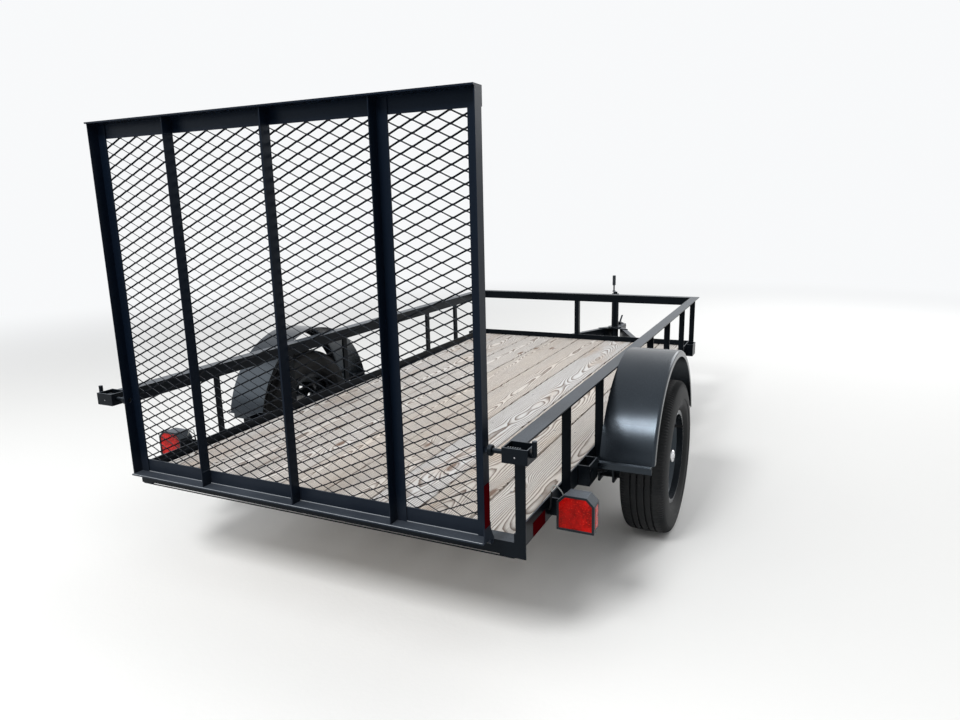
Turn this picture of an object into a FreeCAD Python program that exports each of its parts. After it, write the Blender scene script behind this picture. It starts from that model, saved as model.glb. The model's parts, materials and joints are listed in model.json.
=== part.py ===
import FreeCAD
import Part
import math
import os

# Utility trailer: single axle, plank deck, angle iron rails, mesh ramp gate.
# X points to the right-hand side, Y forward to the coupler, Z up from the ground.
# Sizes are in millimetres. While the pieces are drawn, Y = 0 is the rear end of the frame.

V = FreeCAD.Vector

# Deck and frame
deck_length = 3048.0
frame_width = 1524.0
deck_height = 405.0
steel = 4.76
frame_leg_up = 76.2
frame_leg_in = 50.8
board_thick = 38.1
board_count = 8
board_gap = 3.5
board_side_gap = 8.39
board_end_gap = 3.0
board_lift = 0.3
sill_leg = 50.8
cross_leg = 50.8
# Shares of the way from the rear end of the frame to its front end
cross_shares = (0.168, 0.336, 0.504, 0.672, 0.875)

# Rails round the deck
rail_leg = 50.8
rail_rise = 321.0
rail_overhang = 20.0
post_leg = 31.75
post_steel = 3.2
# Shares of the way from the rear end of the frame to its front end
side_post_shares = (0.0, 0.1353, 0.2666, 0.4171, 0.5672, 0.7118, 0.8686, 1.0)
front_post_place = -20.0

# Gate
gate_side_room = 60.0
gate_height = 1219.0
gate_lift = 25.0
gate_gap = 36.0
gate_leg = 50.8
gate_post_leg = 38.1
gate_post_steel = 3.2
# Columns: place of the backward leg as a share of half the gate, and which way the flat leg runs from it
stiffener_rows = ((-0.5154, -1), (0.0358, -1), (0.5555, 1))
mesh_long_pitch = 76.2
mesh_short_pitch = 33.87
mesh_strand_wide = 5.0
mesh_strand_thick = 1.6
mesh_lap = 20.0
mesh_side_lap = 2.0

# Gate hinges: places are shares of half the gate
hinge_shares = (-0.9377, 0.093, 0.9377)
hinge_pin_r = 8.0
hinge_play = 0.08
hinge_tube_r = 12.7
hinge_tube_length = 60.0
hinge_back = 18.0
hinge_below = 14.0
hinge_lug_thick = 8.0
hinge_lug_gap = 1.0

# Gate latches
latch_wide = 75.0
latch_deep = 64.0
latch_high = 43.0
latch_wall = 4.0
latch_inset = -2.0
latch_drop = 0.0
latch_pin_r = 7.0
latch_pin_clear = 5.5
latch_pin_back = 22.0
latch_hole_play = 1.0
latch_grip_high = 41.0
latch_grip_out = 10.0

# Axle, springs and wheels
axle_share = 0.3707
hub_height = 318.0
axle_drop = 100.0
axle_tube_r = 30.2
arm_long = 30.0
arm_from_hub = 60.0
spindle_r = 17.0
wheel_room = 178.0
tyre_radius = 318.0
tyre_width = 185.0
tyre_bead_r = 181.0
tyre_bead_wide = 139.6
tyre_side_thick = 12.0
tyre_tread_thick = 17.0
tyre_crown_drop = 3.0
tyre_crown_inset = 22.0
tyre_shoulder_drop = 14.0
tyre_shoulder_in = 8.0
tyre_shoulder_round = 13.0
tyre_wide_below = 8.0
tyre_rest_gap = 3.0
rim_flange_r = 193.0
rim_well_r = 152.0
rim_steel = 4.0
rim_half = 70.0
rim_seat_long = 28.0
rim_well_near = 42.0
rim_well_far = 66.0
rim_seat_fit = 0.3
rim_disc_offset = 6.0
rim_disc_thick = 5.0
rim_disc_dish = 14.0
disc_flat_past = 8.0
disc_rise_past = 26.0
disc_skew = 2.0
disc_edge_near = 4.0
disc_edge_far = 10.0
disc_edge_wide = 18.0
hand_hole_count = 8
hand_hole_r = 15.0
hand_hole_circle_r = 116.0
lug_count = 5
lug_circle_r = 57.15
lug_stud_r = 6.35
lug_stud_length = 34.0
lug_nut_r = 10.5
lug_nut_high = 17.0
hub_flange_r = 72.0
hub_flange_thick = 10.0
hub_barrel_r = 36.0
hub_pilot_r = 40.0
hub_cap_r = 25.0
hub_cap_long = 42.0
hub_cap_start = 16.0
hub_cap_step = 4.0
hub_cap_round = 6.0
hub_cap_wall = 5.0
hub_inner_long = 62.0
spring_from_side = 29.0
spring_width = 44.5
leaf_thick = 7.0
leaf_count = 4
leaf_step = 0.2
spring_span = 640.0
spring_camber = 62.0
eye_r = 14.0
eye_past = 5.6
hanger_half = 26.0
hanger_drop = 24.0
hanger_steel = 6.0
clamp_rod_r = 6.0
clamp_nut_r = 10.2
clamp_room = 2.0
clamp_plate = 8.0
clamp_reach = 22.0

# Fenders
fender_width = 203.0
fender_radius = 432.0
fender_rise = 10.0
fender_end_rise = 92.0
fender_sheet = 2.5
fender_lip = 26.0
fender_lip_bend = 10.0
fender_fit = 0.3
bracket_leg = 38.1
bracket_inset = 12.0

# Tongue, coupler and jack
tongue_reach = 1219.2
tongue_half_angle = 25.0
tongue_high = 76.2
tongue_flange = 38.1
tongue_back = 420.0
web_gap = 2.0
web_cross_back = 118.0
beam_tip_back = 188.0
coupler_back = 278.0
coupler_nose = 42.0
coupler_wide = 82.0
coupler_plate = 5.0
coupler_side_lap = 8.0
ball_r = 25.4
ball_rise = 18.0
ball_play = 0.8
# How far the socket's skirt reaches down the ball, as a share of its radius
socket_reach = 0.75
socket_wall = 8.0
lever_back = 40.0
lever_wide = 12.0
lever_high = 56.0
lever_lean = 85.0
lever_thick = 14.0
lever_tab_high = 22.0
lever_tab_long = 36.0
jack_behind_ball = 220.0
jack_tube_r = 28.6
jack_leg_r = 24.0
jack_wall = 3.0
jack_top = 606.0
jack_bottom = 165.0
jack_leg_long = 400.0
jack_leg_plug = 20.0
jack_cap = 20.0
jack_collar_lap = 26.0
jack_collar_thick = 8.0
jack_foot_r = 76.0
jack_foot_thick = 6.0
jack_play = 0.5
crank_lift = 0.3
crank_boss_r = 16.0
crank_boss_high = 14.0
crank_arm = 130.0
crank_wide = 25.0
crank_thick = 8.0
crank_bolt_r = 6.0
crank_bolt_long = 46.0
crank_grip_r = 12.0
crank_grip_long = 82.0
crank_turn_deg = 110.0

# Lights and stake pockets
light_wide = 119.0
light_high = 116.0
light_deep = 62.0
light_above_frame = 37.0
light_from_frame = 45.0
light_rear_place = 230.0
light_corner = 24.0
light_inset = 2.0
light_bracket_drop = 6.0
light_bracket_high = 60.0
light_bracket_lap = 76.0
lens_deep = 24.0
lead_r = 1.6
lead_back = 45.0
lead_drop = 13.0
lead_bend = 16.0
lead_run = 2.0
pocket_long = 102.0
pocket_out = 45.0
pocket_high = 76.2
pocket_wall = 4.76
pocket_behind_axle = 493.0
pocket_from_front = 86.0

# How far a cutter runs past the piece that it cuts
spill = 1.0

# Levels and places worked out from the sizes above
frame_bottom = deck_height - board_thick - board_lift - steel
lip_top = frame_bottom + frame_leg_up
rail_top = deck_height + rail_rise
frame_half = frame_width / 2.0
board_width = (frame_width - 2 * (steel + board_side_gap) - (board_count - 1) * board_gap) / board_count
rail_inner_x = frame_half - steel
gate_bottom = deck_height + gate_lift
gate_top = gate_bottom + gate_height
gate_half = frame_half - gate_side_room
gate_face = -gate_gap
hinge_y = -hinge_back
hinge_z = gate_bottom - hinge_below
latch_y = gate_face - latch_pin_back
latch_z = rail_top - latch_drop - latch_high / 2.0
axle_place = axle_share * deck_length
wheel_x = frame_half + wheel_room
spring_place_x = frame_half - spring_from_side
tongue_top = frame_bottom + steel - cross_leg
tongue_low = tongue_top - tongue_high
ball_y = deck_length + tongue_reach
ball_z = tongue_top - tongue_high / 2.0 + ball_rise
web_cross_y = ball_y - web_cross_back
beam_tip_y = ball_y - beam_tip_back
jack_y = ball_y - jack_behind_ball
y_low = gate_face - gate_leg
y_high = ball_y + coupler_nose
y_middle = (y_low + y_high) / 2.0
rail_out_x = rail_inner_x + rail_leg
fender_inner_x = rail_out_x + fender_fit
fender_outer_x = fender_inner_x + fender_width
fender_z = hub_height + fender_rise
fender_end_z = fender_z + fender_end_rise


def box(x0, x1, y0, y1, z0, z1):
    low = V(min(x0, x1), min(y0, y1), min(z0, z1))
    return Part.makeBox(abs(x1 - x0), abs(y1 - y0), abs(z1 - z0), low)


def cylinder(radius, start, direction, length):
    return Part.makeCylinder(radius, length, start, direction)


def prism(points, along):
    """A flat outline, given by its corners, pushed along a vector."""
    wire = Part.makePolygon(list(points) + [points[0]])
    return Part.Face(wire).extrude(along)


def angle_bar(corner, leg_a, leg_b, along, size_a, size_b, thick):
    """Angle iron: outer corner, the two leg directions, the run and the sizes."""
    p = [
        corner,
        corner + leg_a * size_a,
        corner + leg_a * size_a + leg_b * thick,
        corner + leg_a * thick + leg_b * thick,
        corner + leg_a * thick + leg_b * size_b,
        corner + leg_b * size_b,
    ]
    return prism(p, along)


def lathe(points, centre, axis):
    """A closed outline of (radius, along) pairs turned about an axis through centre."""
    side = V(0, 0, 1)
    spots = [centre + axis * a + side * r for r, a in points]
    wire = Part.makePolygon(spots + [spots[0]])
    return Part.Face(wire).revolve(centre, axis, 360)


def mirror_x(shape):
    return shape.mirror(V(0, 0, 0), V(1, 0, 0))


def turned(shape):
    """The same piece on the other side of the deck, turned half round rather than mirrored."""
    copy = shape.copy()
    copy.rotate(V(0, deck_length / 2.0, 0), V(0, 0, 1), 180)
    return copy


def join(shapes):
    whole = shapes[0]
    if len(shapes) > 1:
        whole = whole.fuse(shapes[1:])
    return whole.removeSplitter()


def save(name, shapes):
    """Write one node; a node of several like pieces holds them as separate solids."""
    solids = []
    for shape in shapes:
        for solid in shape.Solids:
            moved = solid.copy()
            moved.translate(V(0, -y_middle, 0))
            solids.append(moved)
    whole = solids[0] if len(solids) == 1 else Part.makeCompound(solids)
    whole.exportStep("parts/" + name + ".step")


X = V(1, 0, 0)
Y = V(0, 1, 0)
Z = V(0, 0, 1)


# Frame
def side_rail():
    corner = V(frame_half, 0, frame_bottom)
    return angle_bar(corner, -X, Z, Y * deck_length, frame_leg_in, frame_leg_up, steel)


def front_header():
    inner = frame_half - steel
    upright = box(-inner, inner, deck_length - steel, deck_length, frame_bottom, lip_top)
    shelf = box(-inner, inner, deck_length - frame_leg_in, deck_length, frame_bottom, frame_bottom + steel)
    return join([upright, shelf]).cut(side_rail()).cut(mirror_x(side_rail()))


def rear_sill():
    inner = frame_half - steel
    top = deck_height + board_lift + steel
    corner = V(-inner, 0, top)
    bar = angle_bar(corner, Y, -Z, X * 2 * inner, sill_leg, sill_leg, steel)
    shelf = box(-frame_half, frame_half, -spill, frame_leg_in + sill_leg, frame_bottom, frame_bottom + steel)
    return bar.cut(shelf)


def crossmembers():
    half = frame_half - frame_leg_in
    top = frame_bottom + steel
    bars = []
    for share in cross_shares:
        place = deck_length * share - cross_leg / 2.0
        bars.append(angle_bar(V(-half, place, top), Y, -Z, X * 2 * half, cross_leg, cross_leg, steel))
    # The foremost one hangs below the frame and closes the step down to the tongue.
    front = V(-half, deck_length, frame_bottom)
    bars.append(angle_bar(front, -Y, -Z, X * 2 * half, cross_leg, frame_bottom - tongue_top, steel))
    return bars


def deck_boards():
    pitch = board_width + board_gap
    first = -(board_count * board_width + (board_count - 1) * board_gap) / 2.0
    boards = []
    for i in range(board_count):
        x = first + i * pitch
        boards.append(
            box(
                x,
                x + board_width,
                steel + board_end_gap,
                deck_length - steel - board_end_gap,
                frame_bottom + steel,
                frame_bottom + steel + board_thick,
            )
        )
    return boards


# Rails
def rail_flange(points):
    low = [V(x, y, rail_top - steel) for x, y in points]
    return prism(low, Z * steel)


def rail_upright(points):
    low = [V(x, y, rail_top - rail_leg) for x, y in points]
    return prism(low, Z * (rail_leg - steel))


rail_in_y = deck_length - steel
rail_out_y = rail_in_y + rail_leg


def side_top_rail():
    flange = rail_flange(
        [
            (rail_inner_x, -rail_overhang),
            (rail_out_x, -rail_overhang),
            (rail_out_x, rail_out_y),
            (rail_inner_x, rail_in_y),
        ]
    )
    upright = rail_upright(
        [
            (rail_inner_x, -rail_overhang),
            (rail_inner_x + steel, -rail_overhang),
            (rail_inner_x + steel, rail_in_y + steel),
            (rail_inner_x, rail_in_y),
        ]
    )
    return join([flange, upright])


def front_top_rail():
    flange = rail_flange(
        [
            (-rail_inner_x, rail_in_y),
            (rail_inner_x, rail_in_y),
            (rail_out_x, rail_out_y),
            (-rail_out_x, rail_out_y),
        ]
    )
    upright = rail_upright(
        [
            (-rail_inner_x, rail_in_y),
            (rail_inner_x, rail_in_y),
            (rail_inner_x + steel, rail_in_y + steel),
            (-rail_inner_x - steel, rail_in_y + steel),
        ]
    )
    return join([flange, upright])


def side_posts():
    height = rail_top - steel - frame_bottom
    posts = []
    for share in side_post_shares:
        corner = V(frame_half, share * (deck_length - post_leg), frame_bottom)
        posts.append(angle_bar(corner, X, Y, Z * height, post_leg, post_leg, post_steel))
    return posts


def front_posts():
    height = rail_top - steel - frame_bottom
    middle = angle_bar(
        V(front_post_place + post_leg / 2.0, deck_length, frame_bottom),
        -X,
        Y,
        Z * height,
        post_leg,
        post_leg,
        post_steel,
    )
    return [middle]


# Gate
def gate_long_bars():
    run = X * gate_half * 2
    top = angle_bar(V(-gate_half, gate_face, gate_top), -Y, -Z, run, gate_leg, gate_leg, steel)
    bottom = angle_bar(V(-gate_half, gate_face, gate_bottom), -Y, Z, run, gate_leg, gate_leg, steel)
    return [top, bottom]


gate_post_y = gate_face - steel
gate_post_low = gate_bottom + steel
gate_post_high = gate_top - steel


def gate_upright(x, side):
    """Flat leg against the long bars, the other leg pointing back at x; side is the flat leg's way."""
    corner = V(x, gate_post_y, gate_post_low)
    height = gate_post_high - gate_post_low
    return angle_bar(corner, X * side, -Y, Z * height, gate_post_leg, gate_post_leg, gate_post_steel)


def gate_side_bars():
    bars = []
    for side in (1, -1):
        bar = gate_upright(side * gate_half, -side)
        start = V(side * (gate_half + spill), latch_y, latch_z)
        hole = cylinder(latch_pin_r + latch_hole_play, start, X * -side, 2 * spill + gate_post_steel)
        bars.append(bar.cut(hole))
    return bars


def gate_stiffeners():
    bars = []
    for share, side in stiffener_rows:
        bars.append(gate_upright(share * gate_half, side))
    return bars


mesh_half = gate_half - mesh_side_lap
mesh_low = gate_bottom + gate_leg - mesh_lap
mesh_high = gate_top - gate_leg + mesh_lap


def mesh_layer(rise, y0):
    """One family of slanting strands, cut to the gate's opening, as separate bars."""
    slope = rise * mesh_short_pitch / mesh_long_pitch
    length = math.hypot(1.0, slope)
    half_up = mesh_strand_wide * length / 2.0
    frame = box(-mesh_half, mesh_half, y0 - spill, y0 + mesh_strand_thick + spill, mesh_low, mesh_high)
    middle_z = (mesh_low + mesh_high) / 2.0
    reach = (mesh_high - mesh_low) / 2.0 + abs(slope) * mesh_half
    count = int(reach / mesh_short_pitch)
    bars = []
    for i in range(-count, count + 1):
        z = middle_z + i * mesh_short_pitch
        left = z - slope * (mesh_half + spill)
        right = z + slope * (mesh_half + spill)
        corners = [
            V(-mesh_half - spill, y0, left - half_up),
            V(mesh_half + spill, y0, right - half_up),
            V(mesh_half + spill, y0, right + half_up),
            V(-mesh_half - spill, y0, left + half_up),
        ]
        bars.append(prism(corners, Y * mesh_strand_thick).common(frame))
    return bars


# Gate hinges
def hinge_tubes():
    tubes = []
    for share in hinge_shares:
        place = share * gate_half
        start = V(place - hinge_tube_length / 2.0, hinge_y, hinge_z)
        outer = cylinder(hinge_tube_r, start, X, hinge_tube_length)
        foot = box(
            place - hinge_tube_length / 2.0,
            place + hinge_tube_length / 2.0,
            hinge_y,
            0,
            hinge_z - hinge_tube_r,
            deck_height + board_lift + steel,
        )
        bore = cylinder(hinge_pin_r + hinge_play, start - X * spill, X, hinge_tube_length + 2 * spill)
        tubes.append(join([outer, foot]).cut(bore))
    return tubes


# Where a lug's edge meets its eye, as shares of the eye's radius
eye_near = 0.6
eye_far = 0.8


def hinge_pins():
    pins = []
    lug_top = mesh_low - hinge_lug_gap
    reach = hinge_tube_length / 2.0 + hinge_lug_gap
    for share in hinge_shares:
        place = share * gate_half
        length = 2 * (reach + hinge_lug_thick)
        pin = cylinder(hinge_pin_r, V(place - length / 2.0, hinge_y, hinge_z), X, length)
        pieces = [pin]
        for side in (1, -1):
            x = place + side * reach
            eye = cylinder(hinge_tube_r, V(x, hinge_y, hinge_z), X * side, hinge_lug_thick)
            tab = prism(
                [
                    V(x, hinge_y + hinge_tube_r * eye_near, hinge_z + hinge_tube_r * eye_far),
                    V(x, gate_face + hinge_lug_thick, lug_top),
                    V(x, gate_face, lug_top),
                    V(x, gate_face, gate_bottom),
                    V(x, hinge_y - hinge_tube_r * eye_near, hinge_z - hinge_tube_r * eye_far),
                ],
                X * side * hinge_lug_thick,
            )
            pieces.append(eye)
            pieces.append(tab)
        pins.append(join(pieces))
    return pins


# Gate latches
latch_in_x = rail_inner_x - latch_inset
latch_out_x = latch_in_x + latch_wide
latch_back_y = -rail_overhang - latch_deep
latch_low = rail_top - latch_drop - latch_high


def latch_housing():
    outer = box(latch_in_x, latch_out_x, latch_back_y, -rail_overhang, latch_low, rail_top - latch_drop)
    hollow = box(
        latch_in_x + latch_wall,
        latch_out_x - latch_wall,
        latch_back_y + latch_wall,
        -rail_overhang - latch_wall,
        latch_low + latch_wall,
        rail_top,
    )
    start = V(latch_in_x - spill, latch_y, latch_z)
    bore = cylinder(latch_pin_r + latch_hole_play, start, X, latch_wide + 2 * spill)
    return outer.cut(hollow).cut(bore)


def latch_pin():
    """Round pin that draws outwards, with its outer end bent up as a handle."""
    start = gate_half + latch_pin_clear
    bend_x = latch_out_x + latch_grip_out
    bend = V(bend_x, latch_y, latch_z)
    pin = cylinder(latch_pin_r, V(start, latch_y, latch_z), X, bend_x - start)
    grip = cylinder(latch_pin_r, bend, Z, latch_grip_high)
    return join([pin, Part.makeSphere(latch_pin_r, bend), grip])


# Axle and springs
hub_pilot_high = 12.0
hub_fit = 0.3
axle_z = hub_height - axle_drop
beam_end = wheel_x - hub_inner_long - arm_from_hub


def axle_beam():
    beam = cylinder(axle_tube_r, V(-beam_end, axle_place, axle_z), X, 2 * beam_end)
    pieces = [beam]
    for side in (1, -1):
        x = side * beam_end
        arm = box(
            x,
            x + side * arm_long,
            axle_place - axle_tube_r,
            axle_place + axle_tube_r,
            axle_z - axle_tube_r,
            hub_height + axle_tube_r,
        )
        reach = wheel_x + rim_disc_offset + hub_pilot_high - beam_end
        spindle = cylinder(spindle_r, V(x, axle_place, hub_height), X * side, reach)
        pieces.append(arm)
        pieces.append(spindle)
    return join(pieces)


def leaf_arc(span, rise, low_z, thick):
    """One leaf: an arched strip, high at the middle ends and low where the axle seats."""
    radius = (span * span / 4.0 + rise * rise) / (2.0 * rise)
    centre_z = low_z + radius
    half = math.asin(span / 2.0 / radius)

    def spot(r, a):
        return V(0, axle_place + r * math.sin(a), centre_z - r * math.cos(a))

    outer = Part.Arc(spot(radius, -half), spot(radius, 0), spot(radius, half)).toShape()
    right = Part.makeLine(spot(radius, half), spot(radius - thick, half))
    low = radius - thick
    inner = Part.Arc(spot(low, half), spot(low, 0), spot(low, -half)).toShape()
    left = Part.makeLine(spot(radius - thick, -half), spot(radius, -half))
    return Part.Face(Part.Wire([outer, right, inner, left])).extrude(X * spring_width)


spring_seat_z = axle_z + axle_tube_r
spring_pack = leaf_thick * leaf_count
eye_z = spring_seat_z + spring_pack + spring_camber


# The eye's middle lies a little past the end of the top leaf.
eye_place = spring_span / 2.0 + eye_past
spring_radius = (spring_span ** 2 / 4.0 + spring_camber ** 2) / (2.0 * spring_camber)


def leaf_spring():
    leaves = []
    for i in range(leaf_count):
        share = 1.0 - leaf_step * (leaf_count - 1 - i)
        span = spring_span * share
        r = spring_radius + leaf_thick * (leaf_count - 1 - i)
        rise = r - math.sqrt(r * r - span * span / 4.0)
        leaves.append(leaf_arc(span, rise, spring_seat_z + i * leaf_thick, leaf_thick))
    for side in (1, -1):
        centre = V(0, axle_place + side * eye_place, eye_z)
        leaves.append(cylinder(eye_r, centre, X, spring_width))
    spring = join(leaves)
    spring.translate(V(spring_place_x - spring_width / 2.0, 0, 0))
    return spring


def spring_hangers():
    hangers = []
    side_fit = 0.3
    for side in (1, -1):
        y = axle_place + side * eye_place
        inner = spring_width / 2.0 + side_fit
        outer = inner + hanger_steel
        block = box(
            spring_place_x - outer,
            spring_place_x + outer,
            y - hanger_half,
            y + hanger_half,
            eye_z - hanger_drop,
            frame_bottom,
        )
        slot = box(
            spring_place_x - inner,
            spring_place_x + inner,
            y - hanger_half - spill,
            y + hanger_half + spill,
            eye_z - hanger_drop - spill,
            frame_bottom - hanger_steel,
        )
        hangers.append(block.cut(slot))
    return hangers


def axle_clamp():
    """Plate over the leaves and two U-bolts round the axle."""
    rod = clamp_rod_r
    side_gap = 3.0
    end_gap = 0.3
    half = axle_tube_r + 2 * rod + clamp_room
    top_r = spring_radius - spring_pack + leaf_thick
    top_z = spring_seat_z + spring_pack + top_r - math.sqrt(top_r ** 2 - half ** 2)
    across = spring_width / 2.0 + clamp_reach
    x0 = spring_place_x - across
    plate = box(x0, x0 + 2 * across, axle_place - half, axle_place + half, top_z, top_z + clamp_plate)
    pieces = [plate]
    span = axle_tube_r + rod + end_gap
    low = axle_z - span
    for side_x in (1, -1):
        x = spring_place_x + side_x * (spring_width / 2.0 + rod + side_gap)
        for side in (1, -1):
            y = axle_place + side * span
            pieces.append(cylinder(rod, V(x, y, low), Z, top_z + 2 * clamp_plate + rod - low))
            pieces.append(Part.makeSphere(rod, V(x, y, low)))
            corners = []
            for i in range(6):
                a = math.pi / 3.0 * i
                nut_x = x + clamp_nut_r * math.cos(a)
                nut_y = y + clamp_nut_r * math.sin(a)
                corners.append(V(nut_x, nut_y, top_z + clamp_plate))
            pieces.append(prism(corners, Z * clamp_plate))
        pieces.append(cylinder(rod, V(x, axle_place - span, low), Y, 2 * span))
    return join(pieces)


# Wheels
def tyre():
    """A hollow tyre: outer skin and lining, one half drawn, the other mirrored, then turned."""
    half = tyre_width / 2.0
    bead = tyre_bead_wide / 2.0
    toe = bead - tyre_side_thick
    inside = half - tyre_side_thick
    crown_half = half - tyre_crown_inset
    lining_half = crown_half - tyre_shoulder_in
    shoulder_half = half - tyre_shoulder_in
    round_half = half - tyre_shoulder_round
    wall_r = (tyre_radius + tyre_bead_r) / 2.0 - tyre_wide_below
    shoulder_r = tyre_radius - tyre_shoulder_drop
    round_r = tyre_radius - tyre_shoulder_drop / 2.0
    rest_r = rim_flange_r + tyre_rest_gap
    crown_r = tyre_radius - tyre_crown_drop
    lining_r = tyre_radius - tyre_tread_thick
    edges = []
    for way in (1, -1):
        edges.append(Part.makeLine(V(way * bead, 0, tyre_bead_r), V(way * bead, 0, rest_r)))
        arcs = [
            ((bead, rest_r), (half, wall_r), (shoulder_half, shoulder_r)),
            ((shoulder_half, shoulder_r), (round_half, round_r), (crown_half, crown_r)),
            ((lining_half, lining_r), (inside, wall_r), (toe, tyre_bead_r)),
        ]
        for first, middle, last in arcs:
            spots = [V(way * x, 0, r) for x, r in (first, middle, last)]
            edges.append(Part.Arc(*spots).toShape())
        edges.append(Part.makeLine(V(way * toe, 0, tyre_bead_r), V(way * bead, 0, tyre_bead_r)))
    crown = Part.Arc(V(crown_half, 0, crown_r), V(0, 0, tyre_radius), V(-crown_half, 0, crown_r))
    edges.append(crown.toShape())
    edges.append(Part.makeLine(V(-lining_half, 0, lining_r), V(lining_half, 0, lining_r)))
    wire = Part.Wire(Part.__sortEdges__(edges))
    ring = Part.Face(wire).revolve(V(0, 0, 0), X, 360)
    ring.translate(V(wheel_x, axle_place, hub_height))
    return ring


disc_x = wheel_x + rim_disc_offset
lug_fit = 0.05


def rim():
    """Drop-centre rim turned from one outline, with the disc pressed in."""
    seat = tyre_bead_r - rim_seat_fit
    h = rim_half + rim_steel
    s = rim_steel
    near = rim_well_near - h
    far = h - rim_well_far
    inner_seat = rim_seat_long - rim_steel / 2.0
    barrel = [
        (rim_flange_r, -h),
        (rim_flange_r, -h + s),
        (seat, -h + s),
        (seat, rim_seat_long - h),
        (rim_well_r, near),
        (rim_well_r, far),
        (seat, h - rim_seat_long),
        (seat, h - s),
        (rim_flange_r, h - s),
        (rim_flange_r, h),
        (seat - s, h),
        (seat - s, h - inner_seat),
        (rim_well_r - s, far),
        (rim_well_r - s, near),
        (seat - s, inner_seat - h),
        (seat - s, -h),
    ]
    shell = lathe(barrel, V(wheel_x, axle_place, hub_height), X)
    t = rim_disc_thick
    dish = [
        (hub_pilot_r, 0.0),
        (hub_pilot_r, t),
        (hub_flange_r + disc_flat_past, t),
        (hub_flange_r + disc_rise_past, t + rim_disc_dish),
        (rim_well_r - s - rim_disc_dish, t + rim_disc_dish),
        (rim_well_r - s, -disc_edge_near),
        (rim_well_r - s, -disc_edge_far),
        (rim_well_r - s - disc_edge_wide, rim_disc_dish),
        (hub_flange_r + disc_rise_past + disc_skew, rim_disc_dish),
        (hub_flange_r + disc_flat_past + disc_skew, 0.0),
    ]
    disc = lathe(dish, V(disc_x, axle_place, hub_height), X)
    for i in range(hand_hole_count):
        a = 2 * math.pi * (i + 0.5) / hand_hole_count
        spot = V(
            disc_x - rim_half,
            axle_place + hand_hole_circle_r * math.cos(a),
            hub_height + hand_hole_circle_r * math.sin(a),
        )
        disc = disc.cut(cylinder(hand_hole_r, spot, X, 2 * rim_half))
    for spot in lug_spots(disc_x - rim_disc_thick):
        disc = disc.cut(cylinder(lug_stud_r + lug_fit, spot, X, 4 * rim_disc_thick))
    return join([shell, disc])


def lug_spots(x):
    spots = []
    for i in range(lug_count):
        a = 2 * math.pi * i / lug_count + math.pi / 2.0
        spots.append(V(x, axle_place + lug_circle_r * math.cos(a), hub_height + lug_circle_r * math.sin(a)))
    return spots


def hub():
    bore = spindle_r + hub_fit
    t = hub_flange_thick
    outline = [
        (bore, -hub_inner_long),
        (hub_barrel_r, -hub_inner_long),
        (hub_barrel_r + hub_cap_step, -t),
        (hub_flange_r, -t),
        (hub_flange_r, 0.0),
        (hub_pilot_r - hub_fit, 0.0),
        (hub_pilot_r - hub_fit, hub_pilot_high),
        (hub_cap_r + hub_cap_step, hub_cap_start),
        (hub_cap_r, hub_cap_long - hub_cap_round),
        (hub_cap_r - hub_cap_round, hub_cap_long),
        (0.0, hub_cap_long),
        (0.0, hub_cap_long - hub_cap_wall),
        (bore, hub_cap_long - hub_cap_wall),
    ]
    body = lathe(outline, V(disc_x, axle_place, hub_height), X)
    pieces = [body]
    for spot in lug_spots(disc_x):
        pieces.append(cylinder(lug_stud_r, spot, X, lug_stud_length))
    return join(pieces)


def lug_nuts():
    nuts = []
    for spot in lug_spots(disc_x + rim_disc_thick):
        corners = []
        for i in range(6):
            a = math.pi / 3.0 * i
            corners.append(spot + V(0, lug_nut_r * math.cos(a), lug_nut_r * math.sin(a)))
        nut = prism(corners, X * lug_nut_high)
        nuts.append(nut.cut(cylinder(lug_stud_r + lug_fit, spot - X * spill, X, lug_nut_high + 2 * spill)))
    return nuts


# Fenders
def fender():
    """Round shell with a rolled lip along its outer edge, cut level at both lower ends."""
    r = fender_radius
    s = fender_sheet
    b = fender_lip_bend
    w = fender_width
    centre = V(fender_inner_x, axle_place, fender_z)
    half_turn = math.sqrt(0.5)

    def spot(x, radius):
        return centre + V(x, -radius, 0)

    outer_bend = Part.Arc(
        spot(w - b, r), spot(w - b + b * half_turn, r - b + b * half_turn), spot(w, r - b)
    ).toShape()
    inner_bend = Part.Arc(
        spot(w - s, r - b),
        spot(w - b + (b - s) * half_turn, r - b + (b - s) * half_turn),
        spot(w - b, r - s),
    ).toShape()
    edges = [
        Part.makeLine(spot(0, r - s), spot(0, r)),
        Part.makeLine(spot(0, r), spot(w - b, r)),
        outer_bend,
        Part.makeLine(spot(w, r - b), spot(w, r - fender_lip)),
        Part.makeLine(spot(w, r - fender_lip), spot(w - s, r - fender_lip)),
        Part.makeLine(spot(w - s, r - fender_lip), spot(w - s, r - b)),
        inner_bend,
        Part.makeLine(spot(w - b, r - s), spot(0, r - s)),
    ]
    arch = Part.Face(Part.Wire(edges)).revolve(centre, -X, 180)
    below = box(
        fender_inner_x - spill,
        fender_outer_x + spill,
        axle_place - 2 * r,
        axle_place + 2 * r,
        0.0,
        fender_end_z,
    )
    return arch.cut(below)


def fender_brackets():
    """Angle irons that reach out from the frame under the two ends of the fender."""
    bars = []
    end_half = math.sqrt(fender_radius ** 2 - fender_end_rise ** 2)
    run = X * (fender_outer_x - bracket_inset - frame_half)
    for side in (1, -1):
        corner = V(frame_half, axle_place + side * (end_half - bracket_leg / 2.0), fender_end_z - fender_fit)
        bars.append(angle_bar(corner, Y * side, -Z, run, bracket_leg, bracket_leg, steel))
    return bars


# Tongue
slant = math.radians(tongue_half_angle)


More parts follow.
